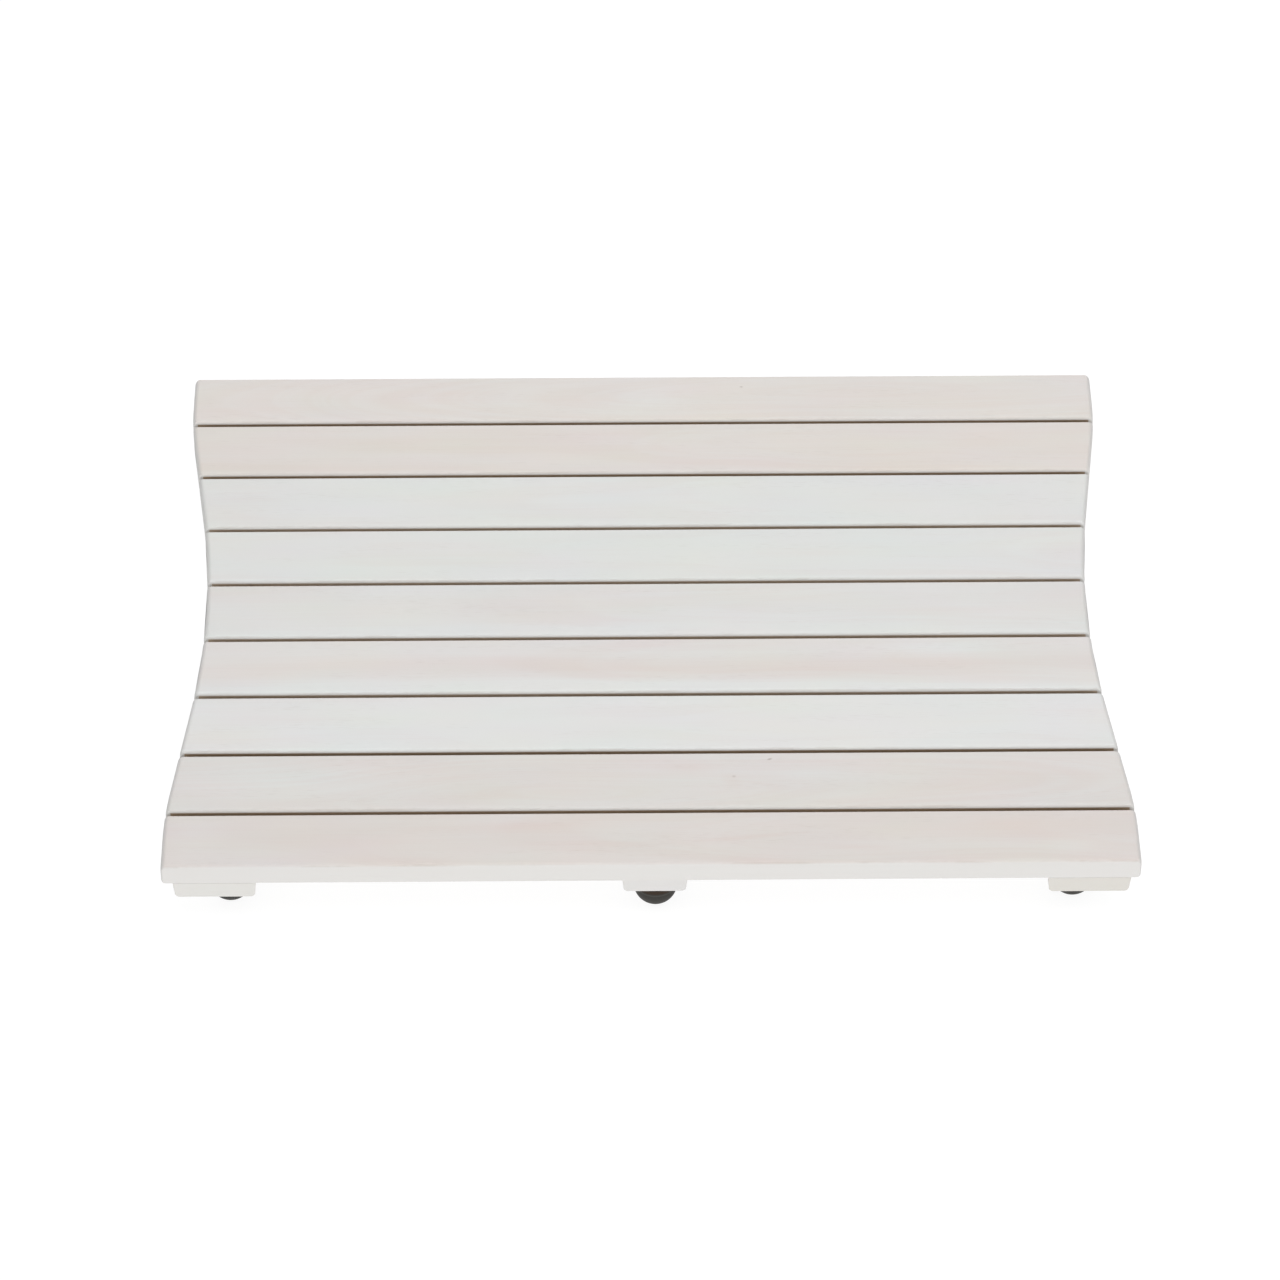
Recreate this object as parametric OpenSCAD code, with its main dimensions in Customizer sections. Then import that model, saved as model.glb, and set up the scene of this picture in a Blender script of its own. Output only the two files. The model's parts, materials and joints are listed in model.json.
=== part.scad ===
// Slatted bath mat: nine wooden slats screwed to three runners that stand on rubber feet.
// Origin at floor level under the middle of the mat, X along the slats, Y to the rear, Z up.

/* [Mat] */
// Length of the slats, left to right
mat_w = 610; // [560:5:700]
// Depth of the mat, front to rear
mat_d = 457; // [430:1:500]
// How far each short side curves in at its middle
waist_depth = 17.8; // [12:0.2:20]
// Radius of the hollow in the middle of each short side
waist_radius = 700; // [550:10:850]
// Radius where the hollow runs out into the straight ends
shoulder_radius = 310; // [200:10:340]
// Slope of the straight stretch between the two curves, degrees
waist_slope = 7.4; // [7:0.1:9]
// Plan radius of the four outer corners
corner_r = 3; // [1:0.5:8]

/* [Slats] */
// Thickness of a slat
slat_t = 15; // [12:0.5:20]
// Gap between neighbouring slats
slat_gap = 3; // [2:0.5:5]
// Width of the front and rear slats
end_slat_w = 45; // [40:0.5:50]
// Radius along the slats' top edges
slat_top_r = 2; // [1:0.25:4]
// Radius along the slats' bottom edges
slat_bottom_r = 1; // [0.5:0.25:3]

/* [Runners] */
// Height of a runner
runner_h = 12.5; // [10:0.5:18]
// Width of each side runner at its ends
side_runner_w = 52; // [46:1:56]
// Distance from the slat ends in to the side runners, when they lie evenly
runner_inset = 6.2; // [5:0.2:10]
// Plan radius of the side runners' outer corners
runner_corner_r = 1; // [0.5:0.5:3]
// How far all the runners and feet lie to the right of an even place
frame_shift = 0.6; // [0:0.2:2]
// Width of the centre runner
centre_runner_w = 41; // [34:1:50]
// Distance of the centre runner to the right of the middle
centre_runner_x = 2.2; // [0:0.2:5]
// Distance from the front and rear edges in to the centre runner's ends
centre_runner_setback = 2.4; // [0:0.2:5]
// How much each side of a runner leans in towards its underside
runner_lean = 1.2; // [0:0.2:2]
// Radius along a runner's bottom edges
runner_edge_r = 2.5; // [1:0.5:4]

/* [Feet] */
// Radius of a rubber foot
foot_r = 13.8; // [13.4:0.2:14.4]
// Height of the foot's straight collar
foot_collar_h = 6.5; // [6.5:0.5:8]
// Height of a foot below its runner
foot_h = 18.5; // [17:0.25:19]
// Distance from the side runners' inner edge to the feet's centres
foot_edge_gap = 17.5; // [15:0.1:18]
// Distance from the front and rear edges to the side feet's centres
side_foot_setback = 22.2; // [20:0.2:26]
// Distance from the front and rear edges to the centre feet's centres
centre_foot_setback = 16.4; // [16.4:0.2:24]
// Distance of the centre feet to the right of the middle
centre_foot_x = 2.8; // [0:0.2:5]
// Radius of the screw recess in a foot
foot_recess_r = 4.5; // [4.5:0.1:5]
// Depth of solid rubber under the runner
foot_floor_t = 9; // [7:0.5:10]

/* [Fasteners] */
// Shank radius of the screws
screw_r = 2; // [1.5:0.1:2.2]
// Clearance around a shank where it passes through a runner or a foot
screw_clearance = 0.25; // [0.1:0.05:0.5]
// How far a screw reaches into its slat
screw_bite = 10; // [7:0.5:11]
// Head radius of the countersunk slat screws
slat_head_r = 3.8; // [3.2:0.1:4.2]
// Height of the straight rim of a countersunk head
head_rim = 0.6; // [0.3:0.1:1]
// Head radius of the foot screws
foot_head_r = 3.6; // [3.2:0.1:4]
// Head height of the foot screws
foot_head_h = 2.4; // [2:0.1:3]
// Radius of the foot washers
washer_r = 4.4; // [4.2:0.1:4.5]
// Thickness of the foot washers
washer_t = 1.2; // [0.8:0.1:1.6]
// Half the distance between the two slat screws of a crossing, along the slat
screw_pair_x = 6; // [4:0.5:8]
// Half the distance between the two slat screws of a crossing, across the slat
screw_pair_y = 11; // [8:0.5:14]

/* [Hidden] */
slat_count = 9;
slat_w = (mat_d - 2 * end_slat_w - (slat_count - 1) * slat_gap) / (slat_count - 2);
pitch = slat_w + slat_gap;
runner_z = foot_h;
slat_z = runner_z + runner_h;
overshoot = 1;
fine = 96;
very_fine = 720;

// The waist: tangent points of its curves, measured from the middle of a short side
waist_x = mat_w / 2 - waist_depth;
hollow_end = [waist_x + waist_radius * (1 - cos(waist_slope)), waist_radius * sin(waist_slope)];
shoulder_rise = shoulder_radius * (1 - cos(waist_slope));
shoulder_run = shoulder_radius * sin(waist_slope);
shoulder_start_x = mat_w / 2 - shoulder_rise;
straight_run = (shoulder_start_x - hollow_end[0]) / tan(waist_slope);
shoulder_start = [shoulder_start_x, hollow_end[1] + straight_run];
shoulder_end_y = shoulder_start[1] + shoulder_run;

// Runner and foot places: one entry for left, centre and right
SIDES = ["left", "centre", "right"];
side_runner_inner = mat_w / 2 - runner_inset - side_runner_w;
side_line_x = side_runner_inner + foot_edge_gap;
line_x = [frame_shift - side_line_x, centre_foot_x, frame_shift + side_line_x];
foot_setback = [side_foot_setback, centre_foot_setback, side_foot_setback];

// Foot rows: one entry for front, middle and rear
ROWS = ["front", "middle", "rear"];
row_sign = [-1, 0, 1];
foot_slats = [1, (slat_count + 1) / 2, slat_count];

SLAT_NODES = [for (i = [1:slat_count]) str("slat_", i)];
RUNNER_NODES = [for (side = SIDES) str("runner_", side)];
FOOT_NODES = [for (row = ROWS) for (side = SIDES) str("foot_", row, "_", side)];
SCREW_NODES = [for (side = SIDES) str("slat_screws_", side)];

// Middle of a slat in Y; slat 1 is at the front
function slat_y(i) = (i - (slat_count + 1) / 2) * pitch + end_shift(i);
function end_shift(i) = i == 1 ? (slat_w - end_slat_w) / 2 : i == slat_count ? (end_slat_w - slat_w) / 2 : 0;
function width_of(i) = i == 1 || i == slat_count ? end_slat_w : slat_w;
function foot_y(row, side) = row_sign[row] * (mat_d / 2 - foot_setback[side]);
function has_foot(i) = len(search(i, foot_slats)) > 0;

// Points of an arc about a centre, from one angle to another
function arc(centre, r, from, to, steps = 8) =
    [for (s = [0:steps]) let (a = from + (to - from) * s / steps) centre + r * [cos(a), sin(a)]];

// Rectangle from the origin whose corners are true arcs: r1 on its lower side, r2 on its upper side
module rounded_bar(w, h, r1, r2) {
    translate([r1, 0]) square([w - 2 * r1, r1]);
    translate([0, r1]) square([w, h - r1 - r2]);
    translate([r2, h - r2]) square([w - 2 * r2, r2]);
    for (x = [r1, w - r1]) translate([x, r1]) circle(r1, $fn = fine);
    for (x = [r2, w - r2]) translate([x, h - r2]) circle(r2, $fn = fine);
}

// Everything cut away from the right-hand end of the mat, seen from above
module waist_cut() {
    beyond = mat_w / 2 + overshoot;
    difference() {
        polygon([
            hollow_end, shoulder_start, [mat_w / 2, shoulder_end_y], [beyond, shoulder_end_y],
            [beyond, -shoulder_end_y], [mat_w / 2, -shoulder_end_y],
            [shoulder_start[0], -shoulder_start[1]], [hollow_end[0], -hollow_end[1]]
        ]);
        for (s = [-1, 1])
            translate([mat_w / 2 - shoulder_radius, s * shoulder_end_y]) circle(shoulder_radius, $fn = very_fine);
    }
    translate([waist_x + waist_radius, 0]) circle(waist_radius, $fn = very_fine);
}

// Outline of the mat seen from above, with outer corners of radius r
module mat_outline(r) {
    difference() {
        translate([-mat_w / 2, -mat_d / 2]) rounded_bar(mat_w, mat_d, r, r);
        waist_cut();
        mirror([1, 0]) waist_cut();
    }
}

// Places of the slat screws on one runner: two on a diagonal under every slat that has no foot
module at_slat_screws(side) {
    for (i = [1:slat_count])
        if (!has_foot(i))
            for (s = [-1, 1])
                translate([line_x[side] + s * screw_pair_x, slat_y(i) + s * screw_pair_y, 0]) children();
}

module at_feet() {
    for (row = [0:2])
        for (side = [0:2])
            translate([line_x[side], foot_y(row, side), 0]) children();
}

// Holes that the screws have bitten into the slats from below
module pilot_holes() {
    for (side = [0:2])
        at_slat_screws(side) translate([0, 0, slat_z]) cylinder(r = screw_r, h = screw_bite, $fn = fine);
    at_feet() translate([0, 0, slat_z]) cylinder(r = screw_r, h = screw_bite, $fn = fine);
}

module slat(i) {
    color("#dedbd7")
        difference() {
            intersection() {
                translate([-mat_w / 2 - overshoot, slat_y(i) - width_of(i) / 2, slat_z])
                    rotate([90, 0, 90])
                        linear_extrude(mat_w + 2 * overshoot)
                            rounded_bar(width_of(i), slat_t, slat_bottom_r, slat_top_r);
                translate([0, 0, slat_z - overshoot]) linear_extrude(slat_t + 2 * overshoot) mat_outline(corner_r);
            }
            pilot_holes();
        }
}

// Cross-section of a runner from its underside up, leaning in and rounded at the bottom
module runner_section(w) {
    lean = atan(runner_lean / runner_h);
    tuck = runner_edge_r * tan(45 + lean / 2);
    base_x = w / 2 - runner_lean;
    polygon(concat(
        [[w / 2, runner_h], [-w / 2, runner_h]],
        arc([-base_x + tuck, runner_edge_r], runner_edge_r, 180 + lean, 270),
        arc([base_x - tuck, runner_edge_r], runner_edge_r, 270, 360 - lean)
    ));
}

module runner_bar(w, length) {
    translate([0, length / 2, runner_z]) rotate([90, 0, 0]) linear_extrude(length) runner_section(w);
}

// Clearance holes for the foot screws, and countersunk ones for the slat screws
module runner_holes(side) {
    hole_r = screw_r + screw_clearance;
    at_feet()
        translate([0, 0, runner_z - overshoot]) cylinder(r = hole_r, h = runner_h + 2 * overshoot, $fn = fine);
    at_slat_screws(side)
        translate([0, 0, runner_z]) {
            translate([0, 0, -overshoot]) cylinder(r = hole_r, h = runner_h + 2 * overshoot, $fn = fine);
            translate([0, 0, -overshoot]) cylinder(r = slat_head_r, h = overshoot + head_rim, $fn = fine);
            translate([0, 0, head_rim]) cylinder(r1 = slat_head_r, r2 = 0, h = slat_head_r, $fn = fine);
        }
}
module centre_runner() {
    color("#dfddd9")
        difference() {
            translate([centre_runner_x, 0, 0]) runner_bar(centre_runner_w, mat_d - 2 * centre_runner_setback);
            runner_holes(1);
        }
}

// The outer edge of a side runner follows the waist
module side_runner(side) {
    towards = side == 0 ? -1 : 1;
    middle_x = side_runner_inner + side_runner_w / 2;
    color("#dfddd9")
        difference() {
            intersection() {
                translate([frame_shift + towards * middle_x, 0, 0]) runner_bar(side_runner_w, mat_d);
                translate([frame_shift - towards * runner_inset, 0, runner_z - overshoot])
                    linear_extrude(runner_h + 2 * overshoot) mat_outline(runner_corner_r);
            }
            runner_holes(side);
        }
}

// Domed rubber foot, standing on a flat ring around its screw recess
module foot(row, side) {
    shoulder_z = foot_h - foot_collar_h;
    color("#464442")
        translate([line_x[side], foot_y(row, side), 0])
            difference() {
                union() {
                    translate([0, 0, shoulder_z]) cylinder(r = foot_r, h = foot_collar_h, $fn = fine);
                    intersection() {
                        translate([0, 0, shoulder_z]) sphere(r = foot_r, $fn = fine);
                        cylinder(r = foot_r + overshoot, h = shoulder_z, $fn = fine);
                    }
                }
                translate([0, 0, -overshoot])
                    cylinder(r = foot_recess_r, h = foot_h - foot_floor_t + overshoot, $fn = fine);
                cylinder(r = screw_r + screw_clearance, h = foot_h + overshoot, $fn = fine);
            }
}

module foot_washers() {
    color("silver")
        at_feet()
            translate([0, 0, foot_h - foot_floor_t - washer_t])
                difference() {
                    cylinder(r = washer_r, h = washer_t, $fn = fine);
                    translate([0, 0, -overshoot])
                        cylinder(r = screw_r + screw_clearance, h = washer_t + 2 * overshoot, $fn = fine);
                }
}

module foot_screws() {
    head_top = foot_h - foot_floor_t - washer_t;
    color("silver")
        at_feet() {
            translate([0, 0, head_top - foot_head_h]) cylinder(r = foot_head_r, h = foot_head_h, $fn = fine);
            translate([0, 0, head_top]) cylinder(r = screw_r, h = slat_z + screw_bite - head_top, $fn = fine);
        }
}

module slat_screws(side) {
    cone_h = slat_head_r - screw_r;
    color("silver")
        at_slat_screws(side)
            translate([0, 0, runner_z]) {
                cylinder(r = slat_head_r, h = head_rim, $fn = fine);
                translate([0, 0, head_rim]) cylinder(r1 = slat_head_r, r2 = screw_r, h = cone_h, $fn = fine);
                cylinder(r = screw_r, h = runner_h + screw_bite, $fn = fine);
            }
}

for (i = [1:slat_count])
    slat(i);
side_runner(0);  // runner_left
centre_runner();  // runner_centre
side_runner(2);  // runner_right
for (row = [0:2])
    for (side = [0:2])
        foot(row, side);
foot_washers();
foot_screws();
for (side = [0:2])
    slat_screws(side);
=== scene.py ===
import json
import math

import bmesh
import bpy
from mathutils import Matrix, Vector

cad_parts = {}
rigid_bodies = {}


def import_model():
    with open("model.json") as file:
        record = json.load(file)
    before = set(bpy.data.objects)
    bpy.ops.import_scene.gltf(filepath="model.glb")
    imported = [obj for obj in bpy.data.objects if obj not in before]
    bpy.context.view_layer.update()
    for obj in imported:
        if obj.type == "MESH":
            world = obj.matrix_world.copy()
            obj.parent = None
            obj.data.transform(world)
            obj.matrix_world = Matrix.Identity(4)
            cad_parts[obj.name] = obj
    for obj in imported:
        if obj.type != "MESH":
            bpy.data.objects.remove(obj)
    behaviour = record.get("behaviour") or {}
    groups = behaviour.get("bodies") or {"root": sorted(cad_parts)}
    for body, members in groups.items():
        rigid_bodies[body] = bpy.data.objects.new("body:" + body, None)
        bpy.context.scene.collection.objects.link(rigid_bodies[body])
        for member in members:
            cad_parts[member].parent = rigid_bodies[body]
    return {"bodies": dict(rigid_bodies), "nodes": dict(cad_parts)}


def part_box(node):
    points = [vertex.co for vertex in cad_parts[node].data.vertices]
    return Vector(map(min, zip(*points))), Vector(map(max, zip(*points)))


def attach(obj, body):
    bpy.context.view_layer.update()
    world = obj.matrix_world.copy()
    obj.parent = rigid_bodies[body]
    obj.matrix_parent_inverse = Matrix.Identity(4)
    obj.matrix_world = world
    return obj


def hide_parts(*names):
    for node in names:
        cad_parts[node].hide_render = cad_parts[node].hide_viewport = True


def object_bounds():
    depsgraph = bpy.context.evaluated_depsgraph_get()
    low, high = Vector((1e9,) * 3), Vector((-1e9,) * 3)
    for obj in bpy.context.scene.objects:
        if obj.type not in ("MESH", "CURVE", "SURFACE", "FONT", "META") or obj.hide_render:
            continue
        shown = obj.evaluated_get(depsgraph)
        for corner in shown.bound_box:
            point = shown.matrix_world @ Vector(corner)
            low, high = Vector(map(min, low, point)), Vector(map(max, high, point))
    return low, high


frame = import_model()
cad_low, cad_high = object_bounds()

MM = 0.001
BODY = next(iter(frame["bodies"]))
SLATS = sorted(name for name in frame["nodes"] if name.startswith("slat_") and name[5:].isdigit())
SIDES = ("left", "centre", "right")
ROWS = ("front", "middle", "rear")

# Radii and distances below which points count as on the axis, or as one point
ON_AXIS = 1e-7
SAME_PLACE = 1e-6

# Outline of the mat's short sides, as in the CAD source
WAIST_DEPTH = 17.8 * MM
WAIST_RADIUS = 700 * MM
SHOULDER_RADIUS = 310 * MM
WAIST_SLOPE = math.radians(7.4)

# Rounding of the slats
SLAT_EDGE_R = 2.2 * MM
SLAT_UNDER_R = 0.3 * MM
SLAT_END_R = 3.4 * MM
SLAT_END_UNDER_R = 2.6 * MM
SLAT_CORNER_R = 0.7 * MM
FRONT_CORNER_R = 1.5 * MM
REAR_CORNER_R = 3.0 * MM

# Runners: how far in from the slats' ends, how far to the right, how their sides lean, and rounding
RUNNER_INSET = 6.2 * MM
FRAME_SHIFT = 0.6 * MM
RUNNER_LEAN = 1.2 * MM
RUNNER_UNDER_R = 2.5 * MM
RUNNER_END_R = 0.6 * MM
RUNNER_CORNER_R = 1.0 * MM
RUNNER_TOP_R = 0.2 * MM

# How far in from the open ends of the gaps their painted shade fades out, as light reaches in there, and
# the edge wear with it
GAP_END_FADE = 3.4 * MM

# Screws and washers
SCREW_R = 2.0 * MM
SHANK_HOLE_R = SCREW_R * 0.9
SLAT_HEAD_R = 3.8 * MM
HEAD_RIM_T = 0.3 * MM
HEAD_SINK = 0.25 * MM
HEAD_SOFT = 0.2 * MM
COUNTERSINK_R = 4.15 * MM
COUNTERSINK_DEPTH = 5 * MM
FOOT_HEAD_R = 3.6 * MM
FOOT_HEAD_H = 2.4 * MM
WASHER_R = 4.4 * MM
WASHER_BORE_R = 2.25 * MM
WASHER_SOFT = 0.2 * MM

# The cross for the driver: half the width of its slots, how long they are at their bottom as a share
# of the top, how they are turned, and their depth and half length in each kind of screw
SLOT_HALF_W = 0.42 * MM
SLOT_TAPER = 0.35
SLOT_TURNS = (20, 110)
FOOT_CROSS = (1.5 * MM, 1.9 * MM)
SLAT_CROSS = (1.6 * MM, 2.1 * MM)

# Feet. A dome ends FOOT_TOUCH_TURN degrees short of the flat that it stands on. The painted shade and
# painted highlight on the rubber are at heights above the foot's shoulder, where the dome meets the upright
# wall
FOOT_RECESS_R = 4.5 * MM
FOOT_MOUTH_SOFT = 0.4 * MM
FOOT_HOLE_R = SCREW_R * 1.1
FOOT_FLOOR_T = 9.0 * MM
FOOT_COLLAR_H = 6.5 * MM
FOOT_LIP_R = 0.6 * MM
FOOT_TOUCH_SOFT = 0.3 * MM
FOOT_TOUCH_TURN = 1.5
SHADE_BAND = (2.2 * MM, 3.4 * MM)
HIGHLIGHT_RING_Z = 1.6 * MM
HIGHLIGHT_RING_FADE = (0.7 * MM, 0.1 * MM)

# Camera: where it stands, how it is turned, and its lens
CAMERA_PLACE = Vector((-0.0411, -2.4946, 2.4503))
CAMERA_TILT = math.radians(44.279)
CAMERA_YAW = math.radians(-0.8425)
CAMERA_ROLL = math.radians(0.246)
CAMERA_LENS = 149.55
SENSOR_W = 36

# Floor: half its width, how strongly it lights up below the mat, where the weaker glow is a painted shadow,
# round it and more so far out, and where that changes, as a share of the way from the mat's middle to its
# edges
FLOOR_HALF_W = 30
UNDER_GLOW = 0.30
FLOOR_GLOW = 0.91
FAR_GLOW = 0.12
UNDER_EDGE = (0.80, 0.86)
FAR_EDGE = (4, 14)

# Fill light from all round, and the lamps: name, place, size and watts
FILL_TINT = (0.97, 0.985, 1.0, 1)
FILL_STRENGTH = 0.265
LAMPS = (
    ("overhead", (0.3, 0.15, 3.2), 3.5, 85),
    ("front", (0.2, -3.3, 1.1), 2.0, 38),
    ("rear", (-0.2, 3.3, 1.3), 2.0, 15),
)


# ---------------------------------------------------------------- geometry

def half_width(y):
    """Half the mat's length at a distance y from its middle, in metres."""
    edge = (cad_high.x - cad_low.x) / 2
    sine, cosine, slope = math.sin(WAIST_SLOPE), math.cos(WAIST_SLOPE), math.tan(WAIST_SLOPE)
    middle = edge - WAIST_DEPTH
    hollow_x = middle + WAIST_RADIUS * (1 - cosine)
    hollow_y = WAIST_RADIUS * sine
    shoulder_x = edge - SHOULDER_RADIUS * (1 - cosine)
    shoulder_y = hollow_y + (shoulder_x - hollow_x) / slope
    straight_y = shoulder_y + SHOULDER_RADIUS * sine
    y = abs(y)
    if y < hollow_y:
        return middle + WAIST_RADIUS - math.sqrt(WAIST_RADIUS**2 - y**2)
    if y < shoulder_y:
        return hollow_x + (y - hollow_y) * slope
    if y < straight_y:
        return edge - SHOULDER_RADIUS + math.sqrt(SHOULDER_RADIUS**2 - (straight_y - y) ** 2)
    return edge


def drop(t, radius):
    """How far a quarter-round of that radius has fallen away at a distance t in from its end."""
    if t >= radius:
        return 0.0
    return radius - math.sqrt(radius**2 - (radius - t) ** 2)


def bar_section(low, high, top_r, under_r, arc_steps, flat_steps):
    """Closed loop of (across, height, edge, wall) of a rounded bar, from its lower left corner.
    edge is 1 in the middle of a rounded corner, and wall is 1 on the two sides."""
    (v0, z0), (v1, z1) = low, high
    corners = (
        (v0 + under_r, z0 + under_r, under_r, 180),
        (v1 - under_r, z0 + under_r, under_r, 270),
        (v1 - top_r, z1 - top_r, top_r, 0),
        (v0 + top_r, z1 - top_r, top_r, 90),
    )
    loop = []
    for number, (v, z, radius, start) in enumerate(corners):
        for step in range(arc_steps + 1):
            share = step / arc_steps
            angle = math.radians(start + 90 * share)
            wall = 1 - share if number in (0, 2) else share
            edge = math.sin(math.pi * share)
            loop.append((v + radius * math.cos(angle), z + radius * math.sin(angle), edge, wall))
        if number in (0, 2):
            nxt = corners[number + 1]
            z_flat = z0 if number == 0 else z1
            for step in range(1, flat_steps):
                share = step / flat_steps
                loop.append((v + (nxt[0] - v) * share, z_flat, 0.0, 0.0))
    return loop


def end_stations(radius, steps):
    """Distances in from an end, close together where the rounding is steep."""
    rounding = [radius * (1 - math.cos(math.pi / 2 * step / steps)) for step in range(steps + 1)]
    return rounding + [radius + GAP_END_FADE / 2, radius + GAP_END_FADE]


def bar_rings(spec):
    """(kind, value, distance in) of each ring round a bar. value is the distance in from its low or
    high end, or for a middle ring the share of the way from one end to the other."""
    stations = end_stations(spec["end_top_r"], spec["end_steps"])
    steps = spec["mid_steps"]
    rings = [("low", t, t) for t in stations]
    rings += [("mid", step / steps, stations[-1]) for step in range(1, steps)]
    rings += [("high", t, t) for t in reversed(stations)]
    return rings


def along_bar(kind, value, u_low, u_high):
    """The place of a ring, from where it would be at the low end and at the high end."""
    if kind == "mid":
        return u_low * (1 - value) + u_high * value
    return u_low if kind == "low" else u_high


def ring_section(spec, kind, value, t):
    """The bar's section at one ring, with the two sides that it lies between."""
    u_low, u_high = [end(0) for end in spec["ends"]]
    if kind != "mid":
        u_low += t
        u_high -= t
    u = along_bar(kind, value, u_low, u_high)
    v0 = spec["sides"][0](u) + drop(t, spec["corner_r"][0])
    v1 = spec["sides"][1](u) - drop(t, spec["corner_r"][1])
    z0, z1 = spec["heights"]
    low = (v0, z0 + drop(t, spec["end_under_r"]))
    high = (v1, z1 - drop(t, spec["end_top_r"]))
    section = bar_section(low, high, spec["top_r"], spec["under_r"], spec["arc_steps"], spec["flat_steps"])
    return section, v0, v1


def leaned(v, z, v0, v1, spec):
    """v moved towards the middle of the bar, the more so the lower it is, where its sides lean in."""
    z0, z1 = spec["heights"]
    lean = spec["lean"] * (z1 - z) / (z1 - z0)
    middle = (v0 + v1) / 2
    return middle + (v - middle) * (1 - 2 * lean / (v1 - v0))


def bar_mesh(name, spec):
    """A long bar with rounded edges and ends. spec gives its sides and ends as functions, because either
    may follow a curve, and its radii. The bar runs along X, or along Y where spec["along_y"] is set."""
    mesh_data = bmesh.new()
    edge_layer = mesh_data.verts.layers.float.new("edge")
    wall_layer = mesh_data.verts.layers.float.new("wall")
    rows = []
    for kind, value, t in bar_rings(spec):
        section, v0, v1 = ring_section(spec, kind, value, t)
        # the painted shade on the gap walls, and the edge wear, fade out towards the ends, where light
        # reaches into the gaps
        inward = min(1.0, t / GAP_END_FADE)
        row = []
        for v, z, edge, wall in section:
            u = along_bar(kind, value, spec["ends"][0](v) + t, spec["ends"][1](v) - t)
            v = leaned(v, z, v0, v1, spec)
            vert = mesh_data.verts.new((v, u, z) if spec["along_y"] else (u, v, z))
            vert[edge_layer] = edge * inward
            vert[wall_layer] = wall * inward
            row.append(vert)
        rows.append(row)
    for first, second in zip(rows, rows[1:]):
        bridge(mesh_data, first, second)
    mesh_data.faces.new(rows[0])
    mesh_data.faces.new(rows[-1])
    bmesh.ops.recalc_face_normals(mesh_data, faces=mesh_data.faces)
    return finish_mesh(name, mesh_data)


def finish_mesh(name, mesh_data):
    """Turns a bmesh into a smooth-shaded object in the scene."""
    mesh = bpy.data.meshes.new(name)
    mesh_data.to_mesh(mesh)
    mesh_data.free()
    mesh.shade_smooth()
    piece = bpy.data.objects.new(name, mesh)
    bpy.context.scene.collection.objects.link(piece)
    return piece


def coat(piece, material, angle=40):
    """Gives a piece its material and smooth shading. The shading splits at edges sharper than the
    angle, and large faces rule the normals of small ones, so that flats stay flat."""
    piece.data.materials.clear()
    piece.data.materials.append(material)
    piece.data.shade_smooth()
    piece.data.set_sharp_from_angle(angle=math.radians(angle))
    weighted = piece.modifiers.new("weighted_normals", "WEIGHTED_NORMAL")
    weighted.keep_sharp = True
    weighted.weight = 80


def lathe(name, profile, centres, steps=64):
    """One piece made of the same turned shape at each centre. profile is a list of (radius, height);
    it starts and ends on the axis or meets itself."""
    mesh_data = bmesh.new()
    for centre in centres:
        rings = []
        for radius, height in profile:
            if radius < ON_AXIS:
                rings.append([mesh_data.verts.new((centre[0], centre[1], centre[2] + height))])
                continue
            ring = []
            for step in range(steps):
                angle = 2 * math.pi * step / steps
                x = centre[0] + radius * math.cos(angle)
                y = centre[1] + radius * math.sin(angle)
                ring.append(mesh_data.verts.new((x, y, centre[2] + height)))
            rings.append(ring)
        pairs = list(zip(rings, rings[1:]))
        if len(rings[0]) > 1:
            pairs.append((rings[-1], rings[0]))
        for first, second in pairs:
            bridge(mesh_data, first, second)
    bmesh.ops.recalc_face_normals(mesh_data, faces=mesh_data.faces)
    return finish_mesh(name, mesh_data)


def bridge(mesh_data, first, second):
    """Faces between two rings, or between a ring and a point on the axis."""
    if len(first) == 1 and len(second) == 1:
        return
    count = max(len(first), len(second))
    for i in range(count):
        j = (i + 1) % count
        if len(first) == 1:
            mesh_data.faces.new((first[0], second[j], second[i]))
        elif len(second) == 1:
            mesh_data.faces.new((first[i], first[j], second[0]))
        else:
            mesh_data.faces.new((first[i], first[j], second[j], second[i]))


def arc(centre, radius, start, stop, steps):
    """(radius, height) points of an arc about a centre, angles in degrees from outwards."""
    points = []
    for step in range(steps + 1):
        angle = math.radians(start + (stop - start) * step / steps)
        points.append((centre[0] + radius * math.cos(angle), centre[1] + radius * math.sin(angle)))
    return points


def cut(piece, cutter):
    """Takes the cutter's volume out of a piece, and removes the cutter."""
    step = piece.modifiers.new("cut", "BOOLEAN")
    step.operation = "DIFFERENCE"
    step.solver = "EXACT"
    step.object = cutter
    bpy.context.view_layer.update()
    graph = bpy.context.evaluated_depsgraph_get()
    made = bpy.data.meshes.new_from_object(piece.evaluated_get(graph))
    piece.modifiers.clear()
    old = piece.data
    piece.data = made
    made.name = piece.name
    bpy.data.meshes.remove(old)
    bpy.data.objects.remove(cutter)


# ---------------------------------------------------------------- places from the frame

def island_centres(node):
    """Centres in X and Y of the separate solids of a CAD node, from left to right and front to rear."""
    mesh = frame["nodes"][node].data
    source = bmesh.new()
    source.from_mesh(mesh)
    bmesh.ops.remove_doubles(source, verts=source.verts, dist=SAME_PLACE)
    seen = set()
    centres = []
    for vert in source.verts:
        if vert in seen:
            continue
        stack = [vert]
        seen.add(vert)
        group = []
        while stack:
            here = stack.pop()
            group.append(here.co)
            for link in here.link_edges:
                other = link.other_vert(here)
                if other not in seen:
                    seen.add(other)
                    stack.append(other)
        xs = [co.x for co in group]
        ys = [co.y for co in group]
        centres.append(((min(xs) + max(xs)) / 2, (min(ys) + max(ys)) / 2))
    source.free()
    return sorted(centres, key=lambda c: (round(c[1], 3), round(c[0], 3)))


# ---------------------------------------------------------------- material helpers

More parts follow.
